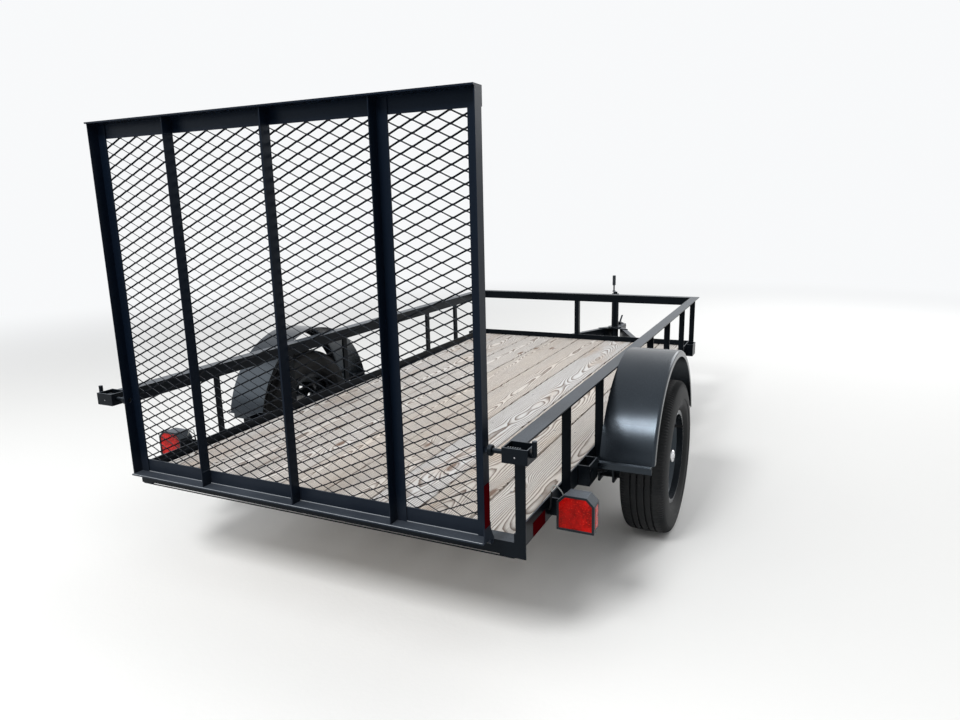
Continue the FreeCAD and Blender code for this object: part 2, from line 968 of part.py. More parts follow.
def tongue_beam():
    """A channel from the coupler back under the frame, slanting out from the centre."""
    forward = V(-math.sin(slant), math.cos(slant), 0)
    out = V(math.cos(slant), math.sin(slant), 0)
    web = V(web_gap, web_cross_y, tongue_low)
    length = (web_cross_y - deck_length + tongue_back) / math.cos(slant)
    outline = [
        web,
        web + out * tongue_flange,
        web + out * tongue_flange + Z * steel,
        web + out * steel + Z * steel,
        web + out * steel + Z * (tongue_high - steel),
        web + out * tongue_flange + Z * (tongue_high - steel),
        web + out * tongue_flange + Z * tongue_high,
        web + Z * tongue_high,
    ]
    beam = prism(outline, forward * -length)
    low = tongue_low - spill
    high = tongue_top + spill
    past_middle = box(-frame_half, web_gap / 2.0, 0, ball_y, low, high)
    past_tip = box(-frame_half, frame_half, beam_tip_y, ball_y, low, high)
    return beam.cut(past_middle).cut(past_tip)


# Coupler
def coupler():
    """Pressed coupler: a tapering plate over the beams' tips, a hooded neck and a round ball socket."""
    top = tongue_top + coupler_plate
    back_y = ball_y - coupler_back
    half = coupler_wide / 2.0
    back_half = (web_cross_y - back_y) * math.tan(slant) + tongue_flange / math.cos(slant) + coupler_side_lap
    neck_y = beam_tip_y + coupler_plate
    plate = prism(
        [
            V(-back_half, back_y, tongue_top),
            V(back_half, back_y, tongue_top),
            V(half, neck_y, tongue_top),
            V(-half, neck_y, tongue_top),
        ],
        Z * coupler_plate,
    )
    hole = cylinder(jack_tube_r + ball_play, V(0, jack_y, tongue_low), Z, 2 * tongue_high)
    neck_start = beam_tip_y + coupler_plate / 2.0
    neck = box(-half, half, neck_start, ball_y, tongue_low + 2 * coupler_plate, top)
    throat = box(
        coupler_plate - half, half - coupler_plate, neck_start - spill, ball_y, tongue_low, tongue_top
    )
    outer_r = ball_r + ball_play + socket_wall
    head = join(
        [
            Part.makeSphere(outer_r, V(0, ball_y, ball_z)),
            cylinder(outer_r, V(0, ball_y, ball_z - ball_r), Z, ball_r),
            cylinder(coupler_nose, V(0, ball_y, ball_z), Z, socket_wall),
        ]
    )
    skirt_low = ball_z - ball_r * socket_reach
    nose = coupler_nose
    head = head.cut(box(-nose, nose, ball_y - nose, ball_y + nose, 0.0, skirt_low))
    body = join([plate.cut(hole), neck.cut(throat), head])
    socket = Part.makeSphere(ball_r + ball_play, V(0, ball_y, ball_z))
    mouth = cylinder(ball_r + ball_play, V(0, ball_y, ball_z - tongue_high), Z, tongue_high)
    return body.cut(join([socket, mouth]))


def coupler_lever():
    """Latch lever on top of the coupler, standing up and leaning forward."""
    y = ball_y - lever_back
    z = tongue_top + coupler_plate
    tab = box(-lever_wide, lever_wide, y - lever_tab_long, y, z, z + lever_tab_high)
    foot_y = y - lever_tab_long / 2.0
    foot_z = z + lever_tab_high / 2.0
    arm = prism(
        [
            V(-lever_wide / 2.0, foot_y - lever_thick / 2.0, foot_z),
            V(-lever_wide / 2.0, foot_y + lever_thick / 2.0, foot_z),
            V(-lever_wide / 2.0, foot_y + lever_lean + lever_thick / 2.0, foot_z + lever_high),
            V(-lever_wide / 2.0, foot_y + lever_lean - lever_thick / 2.0, foot_z + lever_high),
        ],
        X * lever_wide,
    )
    return join([tab, arm])


# Jack
def jack_tube():
    long = jack_top - jack_bottom
    outer = cylinder(jack_tube_r, V(0, jack_y, jack_bottom), Z, long)
    cavity = cylinder(jack_leg_r + jack_play, V(0, jack_y, jack_bottom - spill), Z, long - jack_cap + spill)
    collar_r = jack_tube_r + jack_collar_lap
    collar = cylinder(collar_r, V(0, jack_y, tongue_top + coupler_plate), Z, jack_collar_thick)
    return join([outer, collar]).cut(cavity)


def jack_leg():
    outer = cylinder(jack_leg_r, V(0, jack_y, jack_foot_thick), Z, jack_leg_long)
    start = V(0, jack_y, jack_foot_thick + jack_leg_plug)
    return outer.cut(cylinder(jack_leg_r - jack_wall, start, Z, jack_leg_long))


def jack_foot():
    return cylinder(jack_foot_r, V(0, jack_y, 0), Z, jack_foot_thick)


def jack_crank():
    a = math.radians(crank_turn_deg)
    along = V(math.cos(a), math.sin(a), 0)
    across = V(-math.sin(a), math.cos(a), 0)
    centre = V(0, jack_y, jack_top + crank_lift)
    half = crank_wide / 2.0
    boss = cylinder(crank_boss_r, centre, Z, crank_boss_high)
    spot = centre + along * crank_arm
    side = across * half
    arm = prism([centre - side, spot - side, spot + side, centre + side], Z * crank_thick)
    arm_end = cylinder(half, spot, Z, crank_thick)
    bolt = cylinder(crank_bolt_r, spot, Z, crank_thick + crank_bolt_long)
    grip = cylinder(crank_grip_r, spot + Z * (crank_thick + crank_bolt_long), Z, crank_grip_long)
    return join([boss, arm, arm_end, bolt, grip])


# Lights
light_x0 = frame_half + light_from_frame
light_x1 = light_x0 + light_wide
light_z1 = lip_top + light_above_frame
light_z0 = light_z1 - light_high


def clipped(x0, x1, z0, z1, cut, y):
    return [
        V(x0, y, z0),
        V(x1, y, z0),
        V(x1, y, z1 - cut),
        V(x1 - cut, y, z1),
        V(x0 + cut, y, z1),
        V(x0, y, z1 - cut),
    ]


def light_lens():
    face = clipped(light_x0, light_x1, light_z0, light_z1, light_corner, light_rear_place)
    return prism(face, Y * lens_deep)


def light_body():
    y = light_rear_place + lens_deep
    i = light_inset
    face = clipped(light_x0 + i, light_x1 - i, light_z0 + i, light_z1 - i, light_corner, y)
    return prism(face, Y * (light_deep - lens_deep))


def light_bracket():
    """Plate welded to the side of the frame, with the light bolted to its rear face."""
    y = light_rear_place + light_deep
    z1 = lip_top - light_bracket_drop
    return box(frame_half, light_x0 + light_bracket_lap, y, y + steel, z1 - light_bracket_high, z1)


def light_lead():
    """Wire out of the side of the frame, up and over into the top of the light's housing."""
    y = light_rear_place + lead_back
    out_x = frame_half + lead_bend + lead_run
    in_x = light_x0 + light_corner + lead_bend
    low_z = lip_top - lead_drop
    end_z = light_z1 - light_inset
    top_z = end_z + lead_bend + lead_run
    spots = [
        V(frame_half, y, low_z),
        V(out_x, y, low_z),
        V(out_x, y, top_z),
        V(in_x, y, top_z),
        V(in_x, y, end_z),
    ]
    edges = []
    last = spots[0]
    for i in range(1, len(spots) - 1):
        before = (spots[i] - spots[i - 1]).normalize()
        after = (spots[i + 1] - spots[i]).normalize()
        start = spots[i] - before * lead_bend
        end = spots[i] + after * lead_bend
        middle = spots[i] + (after - before) * (lead_bend * (1.0 - math.sqrt(0.5)))
        edges.append(Part.makeLine(last, start))
        edges.append(Part.Arc(start, middle, end).toShape())
        last = end
    edges.append(Part.makeLine(last, spots[-1]))
    ring = Part.Wire([Part.makeCircle(lead_r, spots[0], X)])
    return Part.Wire(edges).makePipeShell([ring], True, True)


# Stake pockets
def stake_pockets():
    pockets = []
    for place in (axle_place - pocket_behind_axle, deck_length - pocket_from_front):
        x0 = frame_half
        x1 = frame_half + pocket_out
        y0 = place - pocket_long / 2.0
        y1 = place + pocket_long / 2.0
        z0 = lip_top - pocket_high
        outer = box(x0, x1, y0, y1, z0, lip_top)
        inner = box(
            x0 - spill, x1 - pocket_wall, y0 + pocket_wall, y1 - pocket_wall, z0 - spill, lip_top + spill
        )
        pockets.append(outer.cut(inner))
    return pockets


def both(shapes):
    return shapes + [mirror_x(s) for s in shapes]


def build():
    os.makedirs("parts", exist_ok=True)
    save("side_rail_r", [side_rail()])
    save("side_rail_l", [mirror_x(side_rail())])
    save("front_header", [front_header()])
    save("rear_sill", [rear_sill()])
    save("crossmembers", crossmembers())
    save("deck_boards", deck_boards())
    save("top_rail_r", [side_top_rail()])
    save("top_rail_l", [mirror_x(side_top_rail())])
    save("top_rail_front", [front_top_rail()])
    save("side_posts_r", side_posts())
    save("side_posts_l", [turned(s) for s in side_posts()])
    save("front_posts", front_posts())
    save("gate_long_bars", gate_long_bars())
    save("gate_side_bars", gate_side_bars())
    save("gate_stiffeners", gate_stiffeners())
    save("gate_mesh_rising", mesh_layer(1, gate_face))
    save("gate_mesh_falling", mesh_layer(-1, gate_face + mesh_strand_thick))
    save("gate_hinge_pins", hinge_pins())
    save("hinge_tubes", hinge_tubes())
    save("latch_housings", both([latch_housing()]))
    save("latch_pins", both([latch_pin()]))
    save("axle_beam", [axle_beam()])
    save("leaf_springs", both([leaf_spring()]))
    save("spring_hangers", both(spring_hangers()))
    save("axle_clamps", both([axle_clamp()]))
    save("tail_lights", both([light_body()]))
    save("tail_lenses", both([light_lens()]))
    for side in ("r", "l"):
        flip = mirror_x if side == "l" else (lambda s: s)
        save("tyre_" + side, [flip(tyre())])
        save("rim_" + side, [flip(rim())])
        save("hub_" + side, [flip(hub())])
        save("lug_nuts_" + side, [flip(s) for s in lug_nuts()])
        save("fender_" + side, [flip(fender())])
    save("fender_brackets", both(fender_brackets()))
    save("light_brackets", both([light_bracket()]))
    save("light_leads", both([light_lead()]))
    save("stake_pockets", both(stake_pockets()))
    save("tongue_beams", both([tongue_beam()]))
    save("coupler", [coupler()])
    save("coupler_lever", [coupler_lever()])
    save("jack_tube", [jack_tube()])
    save("jack_leg", [jack_leg()])
    save("jack_foot", [jack_foot()])
    save("jack_crank", [jack_crank()])


build()
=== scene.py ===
import json
import math
import random

import bpy
from mathutils import Matrix, Vector


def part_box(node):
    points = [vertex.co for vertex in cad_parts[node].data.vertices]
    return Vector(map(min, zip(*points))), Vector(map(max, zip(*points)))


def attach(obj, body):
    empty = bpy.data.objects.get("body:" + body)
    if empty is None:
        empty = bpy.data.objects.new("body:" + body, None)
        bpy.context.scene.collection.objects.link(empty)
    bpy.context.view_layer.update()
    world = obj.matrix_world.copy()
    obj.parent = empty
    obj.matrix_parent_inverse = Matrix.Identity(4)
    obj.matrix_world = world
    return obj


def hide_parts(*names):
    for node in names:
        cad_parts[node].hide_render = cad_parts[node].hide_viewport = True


# Utility trailer, dressed: materials, deck boards, expanded mesh, tyres, lights and small hardware.
# Lengths are in metres. The right side is at +x, the front at +y, and "r" and "l" name the sides.
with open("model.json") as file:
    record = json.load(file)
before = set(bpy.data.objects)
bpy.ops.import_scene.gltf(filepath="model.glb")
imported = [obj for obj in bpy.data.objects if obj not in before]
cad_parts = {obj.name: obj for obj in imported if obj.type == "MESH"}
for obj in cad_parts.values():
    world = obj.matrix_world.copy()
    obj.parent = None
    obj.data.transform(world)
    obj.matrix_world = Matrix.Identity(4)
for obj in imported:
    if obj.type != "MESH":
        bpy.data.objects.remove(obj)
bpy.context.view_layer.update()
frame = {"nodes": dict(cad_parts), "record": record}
scene = bpy.context.scene
nodes = frame["nodes"]
chance = random.Random(7)

X = Vector((1, 0, 0))
Y = Vector((0, 1, 0))
Z = Vector((0, 0, 1))

rear_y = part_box("side_rail_r")[0].y
frame_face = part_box("side_rail_r")[1].x
frame_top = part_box("side_rail_r")[1].z
both_sides = ((1, "r"), (-1, "l"))


# Node helpers
def start_material(name):
    material = bpy.data.materials.new(name)
    material.use_nodes = True
    tree = material.node_tree
    tree.nodes.clear()
    shader = tree.nodes.new("ShaderNodeBsdfPrincipled")
    out = tree.nodes.new("ShaderNodeOutputMaterial")
    tree.links.new(shader.outputs[0], out.inputs[0])
    return material, tree, shader


def feed(tree, socket, value):
    if isinstance(value, bpy.types.NodeSocket):
        tree.links.new(value, socket)
    else:
        socket.default_value = value


def put(tree, kind, inputs, **settings):
    made = tree.nodes.new(kind)
    for key, value in settings.items():
        setattr(made, key, value)
    for key, value in inputs.items():
        feed(tree, made.inputs[key], value)
    return made


def calc(tree, operation, a, b=0.0, c=0.0):
    return put(tree, "ShaderNodeMath", {0: a, 1: b, 2: c}, operation=operation).outputs[0]


def times(tree, a, b):
    return calc(tree, "MULTIPLY", a, b)


def combine(tree, x, y, z):
    return put(tree, "ShaderNodeCombineXYZ", {0: x, 1: y, 2: z}).outputs[0]


def split(tree, vector):
    return put(tree, "ShaderNodeSeparateXYZ", {0: vector}).outputs


def blend_colour(tree, factor, a, b):
    return put(tree, "ShaderNodeMix", {0: factor, 6: a, 7: b}, data_type="RGBA").outputs[2]


def ramp(tree, factor, stops):
    """Colour ramp; each stop is a place and a colour."""
    made = put(tree, "ShaderNodeValToRGB", {0: factor})
    elements = made.color_ramp.elements
    while len(elements) < len(stops):
        elements.new(0.5)
    for element, (place, colour) in zip(elements, stops):
        element.position = place
        element.color = colour
    return made.outputs[0]


def grey(value):
    return (value, value, value, 1.0)


def places(tree):
    return put(tree, "ShaderNodeTexCoord", {}).outputs["Object"]


def stretched(tree, vector, scale):
    return put(tree, "ShaderNodeMapping", {"Vector": vector, "Scale": scale}).outputs[0]


def noise(tree, vector, scale, detail=3.0, rough=0.5):
    inputs = {"Vector": vector, "Scale": scale, "Detail": detail, "Roughness": rough}
    return put(tree, "ShaderNodeTexNoise", inputs).outputs[0]


def cells(tree, vector, scale):
    return put(tree, "ShaderNodeTexVoronoi", {"Vector": vector, "Scale": scale}).outputs["Distance"]


def bump(tree, shader, height, depth, strength=1.0):
    made = put(tree, "ShaderNodeBump", {"Height": height, "Distance": depth, "Strength": strength})
    tree.links.new(made.outputs[0], shader.inputs["Normal"])


# Materials
# Pale bluish colour that faces looking up are mixed towards: partly dust, partly a painted sky sheen.
dust_and_sheen_colour = (0.36, 0.41, 0.48, 1.0)
cool_tint = (0.72, 0.86, 1.0, 1.0)
# Heights, in metres, between which the paint grows paler towards the bottom.
pale_from_z = 0.52
pale_full_z = 0.36


def paint(name, colour, rough, dust_and_sheen, gloss=0.5, peel=0.00012, low_pale=0.0):
    """Sprayed paint or plastic: orange peel, faint patches, and faces that look up mixed towards a pale
    bluish colour, partly dust and partly painted sky sheen.

    low_pale makes the paint paler towards the bottom: more of the pale bluish colour from the height
    pale_from_z down, full at pale_full_z.
    """
    material, tree, shader = start_material(name)
    spots = places(tree)
    patches = noise(tree, spots, 4.0, 4.0, 0.6)
    grains = noise(tree, spots, 240.0, 2.0, 0.7)
    normal = put(tree, "ShaderNodeNewGeometry", {}).outputs["Normal"]
    # Painted sheen: faces that look up get more of the pale bluish colour, partly as dust and partly as the
    # sky's sheen on them.
    level = calc(tree, "POWER", calc(tree, "MAXIMUM", split(tree, normal)[2], 0.0), 3.0)
    patchy_cover = ramp(tree, times(tree, patches, grains), [(0.1, grey(0.45)), (0.40, grey(1.0))])
    share = times(tree, calc(tree, "MULTIPLY_ADD", level, 0.985, 0.015), patchy_cover)
    share = times(tree, share, dust_and_sheen)
    # Paler towards the bottom: more of the pale bluish colour below a given height.
    if low_pale:
        heights = {"Value": split(tree, spots)[2], "From Min": pale_from_z, "From Max": pale_full_z}
        low = put(tree, "ShaderNodeMapRange", heights).outputs[0]
        share = calc(tree, "ADD", share, times(tree, times(tree, low, patches), low_pale))
    feed(tree, shader.inputs["Base Color"], blend_colour(tree, share, colour, dust_and_sheen_colour))
    uneven = calc(tree, "MULTIPLY_ADD", patches, 0.16, rough - 0.08)
    feed(tree, shader.inputs["Roughness"], calc(tree, "MULTIPLY_ADD", share, 0.15, uneven))
    shader.inputs["Specular IOR Level"].default_value = gloss
    shader.inputs["Specular Tint"].default_value = cool_tint
    bump(tree, shader, noise(tree, spots, 700.0, 2.0), peel)
    return material


def bare_metal(name, colour, rough, scratch=0.00006):
    material, tree, shader = start_material(name)
    spots = places(tree)
    cloud = noise(tree, spots, 55.0, 4.0, 0.65)
    dull = tuple(c * 0.72 for c in colour[:3]) + (1.0,)
    feed(tree, shader.inputs["Base Color"], ramp(tree, cloud, [(0.3, dull), (0.7, colour)]))
    shader.inputs["Metallic"].default_value = 1.0
    feed(tree, shader.inputs["Roughness"], calc(tree, "MULTIPLY_ADD", cloud, 0.3, rough - 0.15))
    bump(tree, shader, noise(tree, spots, 900.0, 2.0), scratch)
    return material


def rubber(name):
    material, tree, shader = start_material(name)
    spots = places(tree)
    dirt = noise(tree, spots, 9.0, 5.0, 0.65)
    speck = noise(tree, spots, 420.0, 2.0, 0.6)
    clean = (0.0050, 0.0060, 0.0072, 1.0)
    dusty = (0.0150, 0.0155, 0.0160, 1.0)
    feed(tree, shader.inputs["Base Color"], ramp(tree, dirt, [(0.35, clean), (0.75, dusty)]))
    feed(tree, shader.inputs["Roughness"], calc(tree, "MULTIPLY_ADD", dirt, 0.25, 0.50))
    shader.inputs["Specular IOR Level"].default_value = 0.2
    bump(tree, shader, speck, 0.00025)
    return material


# Tones of single boards: place in the ramp, colour
board_tones = [
    (0.0, (0.80, 0.74, 0.66, 1.0)),
    (0.25, (0.78, 0.78, 0.77, 1.0)),
    (0.5, (0.76, 0.65, 0.52, 1.0)),
    (0.75, (0.82, 0.82, 0.80, 1.0)),
    (1.0, (0.78, 0.70, 0.60, 1.0)),
]
# Darkness through one year's ring: place in the ramp, share of late wood
ring_tones = [
    (0.0, grey(0.5)),
    (0.08, grey(0.0)),
    (0.50, grey(0.05)),
    (0.82, grey(0.72)),
    (0.93, grey(1.0)),
]
silver_wood = (0.71, 0.72, 0.74, 1.0)
warm_wood = (0.56, 0.40, 0.27, 1.0)
streak_wood = (0.20, 0.165, 0.14, 1.0)
late_wood = (0.130, 0.088, 0.064, 1.0)
knot_wood = (0.15, 0.075, 0.04, 1.0)
ring_width = 0.0064


def pine(name):
    """Weathered deck board: rings of a log cut flat, knots, fibres and a tone of its own for each board."""
    material, tree, shader = start_material(name)
    flat = put(tree, "ShaderNodeUVMap", {}, uv_map="grain").outputs[0]
    across, along, _ = split(tree, flat)
    seed = put(tree, "ShaderNodeAttribute", {}, attribute_name="seed").outputs["Vector"]
    one, two, three = split(tree, seed)

    def spread(across_scale, along_scale, own, own_scale):
        """Place on the board, stretched, with a shift of its own for each board."""
        return combine(
            tree,
            times(tree, across, across_scale),
            times(tree, along, along_scale),
            times(tree, own, own_scale),
        )

    def wander(speed, shift):
        where = combine(tree, times(tree, one, 37.0), times(tree, along, speed), shift)
        return calc(tree, "SUBTRACT", noise(tree, where, 1.0, 2.0), 0.5)

    shift = calc(tree, "SUBTRACT", two, 0.5)
    pith = calc(tree, "MULTIPLY_ADD", shift, 0.11, times(tree, wander(0.9, 1.7), 0.12))
    sunk = calc(tree, "MULTIPLY_ADD", wander(1.1, 8.3), 0.16, 0.030)
    depth = calc(tree, "MULTIPLY_ADD", three, 0.035, sunk)
    side = calc(tree, "SUBTRACT", across, pith)
    radius = calc(tree, "SQRT", calc(tree, "ADD", times(tree, side, side), times(tree, depth, depth)))
    reach = cells(tree, spread(7.0, 1.9, two, 19.0), 1.0)
    knot = calc(tree, "POWER", 2.718, times(tree, times(tree, reach, reach), -30.0))
    fibre = noise(tree, spread(330.0, 7.0, one, 50.0), 1.0, 4.0, 0.7)
    wobble = noise(tree, spread(26.0, 6.0, one, 90.0), 1.0, 3.0)
    radius = calc(tree, "ADD", radius, times(tree, knot, 0.028))
    radius = calc(tree, "ADD", radius, times(tree, wobble, 0.007))
    late = ramp(tree, calc(tree, "FRACT", calc(tree, "DIVIDE", radius, ring_width)), ring_tones)
    tone = ramp(tree, one, board_tones)
    patch = noise(tree, stretched(tree, flat, (9.0, 1.6, 1.0)), 1.0, 4.0, 0.6)
    tone = blend_colour(tree, times(tree, patch, 0.75), tone, silver_wood)
    warm_place = stretched(tree, flat, (6.0, 1.1, 1.0))
    warm_shift = put(tree, "ShaderNodeVectorMath", {0: warm_place, 1: seed}, operation="ADD").outputs[0]
    warm = ramp(tree, noise(tree, warm_shift, 1.3, 5.0, 0.65), [(0.50, grey(0.0)), (0.68, grey(1.0))])
    warm = times(tree, warm, calc(tree, "MULTIPLY_ADD", three, 0.55, 0.10))
    tone = blend_colour(tree, warm, tone, warm_wood)
    streak = ramp(tree, fibre, [(0.35, grey(0.0)), (0.75, grey(1.0))])
    tone = blend_colour(tree, times(tree, streak, 0.36), tone, streak_wood)
    grain_share = times(tree, late, calc(tree, "MULTIPLY_ADD", patch, 0.4, 0.72))
    tone = blend_colour(tree, grain_share, tone, late_wood)
    heart = ramp(tree, knot, [(0.72, grey(0.0)), (0.90, grey(1.0))])
    tone = blend_colour(tree, times(tree, heart, 0.8), tone, knot_wood)
    feed(tree, shader.inputs["Base Color"], tone)
    feed(tree, shader.inputs["Roughness"], calc(tree, "MULTIPLY_ADD", late, -0.12, 0.82))
    shader.inputs["Specular IOR Level"].default_value = 0.25
    height = calc(tree, "ADD", times(tree, late, 0.6), times(tree, fibre, 0.7))
    bump(tree, shader, height, 0.0012)
    return material


def lens(name):
    """Moulded red plastic with small prisms and painted bright glints behind a glossy face."""
    material, tree, shader = start_material(name)
    spots = places(tree)
    cloud = noise(tree, spots, 38.0, 3.0, 0.6)
    deep = (0.20, 0.0006, 0.0010, 1.0)
    clear = (0.52, 0.0024, 0.0020, 1.0)
    tone = ramp(tree, cloud, [(0.35, deep), (0.66, clear)])
    # Painted glints: bright red spots mixed into the colour where a fine noise is high, standing in for
    # light caught by the prisms.
    painted_glint = ramp(tree, noise(tree, spots, 210.0, 2.0, 0.5), [(0.60, grey(0.0)), (0.72, grey(0.7))])
    feed(tree, shader.inputs["Base Color"], blend_colour(tree, painted_glint, tone, (0.95, 0.045, 0.020, 1.0)))
    shader.inputs["Roughness"].default_value = 0.16
    shader.inputs["Specular IOR Level"].default_value = 0.3
    shader.inputs["Specular Tint"].default_value = (1.0, 0.30, 0.25, 1.0)
    bump(tree, shader, cells(tree, spots, 150.0), 0.0010, 0.6)
    return material


black_paint = paint("black_paint", (0.0020, 0.0030, 0.0045, 1.0), 0.30, 0.25, 0.09)
gate_paint = paint("gate_paint", (0.0020, 0.0045, 0.0100, 1.0), 0.36, 0.12, 0.10, low_pale=0.10)
mesh_paint = paint("mesh_paint", (0.0016, 0.0026, 0.0046, 1.0), 0.42, 0.10, 0.07)
fender_paint = paint("fender_paint", (0.0036, 0.0052, 0.0078, 1.0), 0.24, 0.06, 0.5, 0.00002)
rim_paint = paint("rim_paint", (0.0085, 0.0100, 0.0120, 1.0), 0.25, 0.06, 0.5, 0.00004)
reflector_red = paint("reflector_red", (0.050, 0.0006, 0.0020, 1.0), 0.40, 0.0, 0.0, 0.00003)
worn_steel = bare_metal("worn_steel", (0.30, 0.30, 0.31, 1.0), 0.45)
spring_paint = paint("spring_paint", (0.010, 0.010, 0.011, 1.0), 0.5, 0.3)
# Pale grey for thin lines painted along edges as highlights.
edge_highlight_paint = paint("edge_highlight_paint", (0.24, 0.255, 0.27, 1.0), 0.45, 0.30, 0.3)
light_plastic = paint("light_plastic", (0.0060, 0.0070, 0.0085, 1.0), 0.42, 0.30, 0.25, 0.0002)
lead_plastic = paint("lead_plastic", (0.40, 0.42, 0.40, 1.0), 0.42, 0.05, 0.4, 0.0001)
grip_plastic = paint("grip_plastic", (0.010, 0.010, 0.011, 1.0), 0.55, 0.1, 0.4, 0.0002)
rubber_black = rubber("rubber_black")
deck_pine = pine("deck_pine")
lens_red = lens("lens_red")
hub_steel = bare_metal("hub_steel", (0.62, 0.62, 0.63, 1.0), 0.32)
bright_steel = bare_metal("bright_steel", (0.78, 0.78, 0.80, 1.0), 0.20)
zinc_steel = bare_metal("zinc_steel", (0.58, 0.59, 0.60, 1.0), 0.38)

by_slot = {
    "frame_black": black_paint,
    "deck_pine": deck_pine,
    "tyre_rubber": rubber_black,
    "hub_steel": hub_steel,
    "bright_steel": worn_steel,
    "zinc_steel": zinc_steel,
    "spring_black": spring_paint,
    "light_black": light_plastic,
    "lens_red": lens_red,
}
# Finishes by the first word of a node's name, which come before the slot's
own_paint = {
    "gate": gate_paint,
    "fender": fender_paint,
    "rim": rim_paint,
    "hub": hub_steel,
    "lug": bright_steel,
    "latch": black_paint,
}
slot_of = {entry["node"]: entry["material_slot"] for entry in frame["record"]["subparts"]}
for name, carried in nodes.items():
    finish = own_paint.get(name.split("_")[0], by_slot[slot_of[name]])
    carried.data.materials.clear()
    carried.data.materials.append(finish)


# Piece helpers
def piece(name, verts, faces, material, body, slot, smooth=False):
    data = bpy.data.meshes.new(name)
    data.from_pydata([tuple(v) for v in verts], [], faces)
    data.materials.append(material)
    made = bpy.data.objects.new(name, data)
    scene.collection.objects.link(made)
    if smooth:
        for face in data.polygons:
            face.use_smooth = True
    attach(made, body)
    return made


def smooth_flat(made, angle):
    """Smooth shading that keeps the sharp edges."""
    for face in made.data.polygons:
        face.use_smooth = True
    made.data.set_sharp_from_angle(angle=angle)


def soften(made, width, segments=2):
    """A small round along the sharp edges, applied at once."""
    change = made.modifiers.new("round", "BEVEL")
    change.width = width
    change.segments = segments
    change.limit_method = "ANGLE"
    change.angle_limit = 0.6
    graph = bpy.context.evaluated_depsgraph_get()
    graph.update()
    shown = made.evaluated_get(graph)
    fresh = bpy.data.meshes.new_from_object(shown, preserve_all_data_layers=True, depsgraph=graph)
    made.modifiers.clear()
    made.data = fresh


def cross_ways(way):
    """Two unit ways that lie across the given one."""
    start = way.cross(Z) if abs(way.z) < 0.9 else way.cross(X)
    start.normalize()
    return start, way.cross(start)


def ring(centre, way, radius, sides, closed=False):
    """Points of a circle that lies across a way; closed adds the first one again at the end."""
    start, other = cross_ways(way)
    count = sides + 1 if closed else sides
    spots = []
    for k in range(count):
        a = 2 * math.pi * k / sides
        spots.append(centre + start * (radius * math.cos(a)) + other * (radius * math.sin(a)))
    return spots


def skin(rings, sides):
    """Faces that join rings of points, one after another, and close the first and the last."""
    last = rings - 1
    faces = []
    for i in range(last):
        for k in range(sides):
            n = (k + 1) % sides
            faces.append((i * sides + k, i * sides + n, (i + 1) * sides + n, (i + 1) * sides + k))
    faces.append(tuple(reversed(range(sides))))
    faces.append(tuple(range(last * sides, (last + 1) * sides)))
    return faces


def path_ways(path):
    """The way along a path at each of its points."""
    last = len(path) - 1
    return [(path[min(i + 1, last)] - path[max(i - 1, 0)]).normalized() for i in range(last + 1)]


def tube(path, radius, sides):
    """Verts and faces of a round tube along a list of points, closed at both ends."""
    verts = []
    for spot, way in zip(path, path_ways(path)):
        verts.extend(ring(spot, way, radius, sides))
    return verts, skin(len(path), sides)


def turned(centre, axis, outline, sides=32):
    """Verts and faces of a form turned about an axis; outline gives radius and place along it."""
    start, other = cross_ways(axis)
    verts = []
    for radius, along in outline:
        for k in range(sides):
            a = 2 * math.pi * k / sides
            spread = start * (radius * math.cos(a)) + other * (radius * math.sin(a))
            verts.append(centre + axis * along + spread)
    return verts, skin(len(outline), sides)


def weld(start, end, size, lumps):
    """Verts and faces of a bead of lumpy weld along a line."""
    sides = 8
    way = (end - start).normalized()
    verts = []
    steps = lumps * 4
    for i in range(steps + 1):
        share = i / steps
        swell = size * (0.78 + 0.22 * abs(math.sin(math.pi * lumps * share)))
        if i in (0, steps):
            swell = size * 0.25
        verts.extend(ring(start.lerp(end, share), way, swell, sides))
    return verts, skin(steps + 1, sides)


def box_form(x0, x1, y0, y1, z0, z1):
    verts = [Vector((x, y, z)) for z in (z0, z1) for y in (y0, y1) for x in (x0, x1)]
    faces = [(0, 2, 3, 1), (4, 5, 7, 6), (0, 1, 5, 4), (1, 3, 7, 5), (3, 2, 6, 7), (2, 0, 4, 6)]
    return verts, faces


def ring_plate(outer, inner, y_front, y_back):
    """Verts and faces of a flat frame between two outlines of as many corners, in x and z."""
    count = len(outer)
    verts = []
    for y in (y_front, y_back):
        for outline in (outer, inner):
            verts.extend(Vector((x, y, z)) for x, z in outline)
    faces = []
    for i in range(count):
        n = (i + 1) % count
        faces.append((i, n, count + n, count + i))
        faces.append((2 * count + n, 2 * count + i, 3 * count + i, 3 * count + n))
        faces.append((n, i, 2 * count + i, 2 * count + n))
        faces.append((count + i, count + n, 3 * count + n, 3 * count + i))
    return verts, faces


def smooth_path(spots, parts):
    """Points of a smooth curve through the given ones."""
    ends = [spots[0]] + spots + [spots[-1]]
    path = []
    for i in range(1, len(ends) - 2):
        a, b, c, d = ends[i - 1:i + 3]
        for k in range(parts):
            t = k / parts
            square = (a * 2 - b * 5 + c * 4 - d) * t ** 2
            cube = (b * 3 - a - c * 3 + d) * t ** 3
            path.append((b * 2 + (c - a) * t + square + cube) / 2)
    path.append(spots[-1])
    return path


class Pile:
    """Several like forms gathered into one piece."""

    def __init__(self):
        self.verts = []
        self.faces = []

    def add(self, verts, faces):
        base = len(self.verts)
        self.verts.extend(verts)
        self.faces.extend(tuple(base + i for i in face) for face in faces)


# Deck boards
board_count = 8
board_gap = 0.0075


def board_places():
    """The low x of each deck board, and the width of one."""
    low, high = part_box("deck_boards")
    width = (high.x - low.x - board_gap * (board_count - 1)) / board_count
    return [low.x + i * (width + board_gap) for i in range(board_count)], width


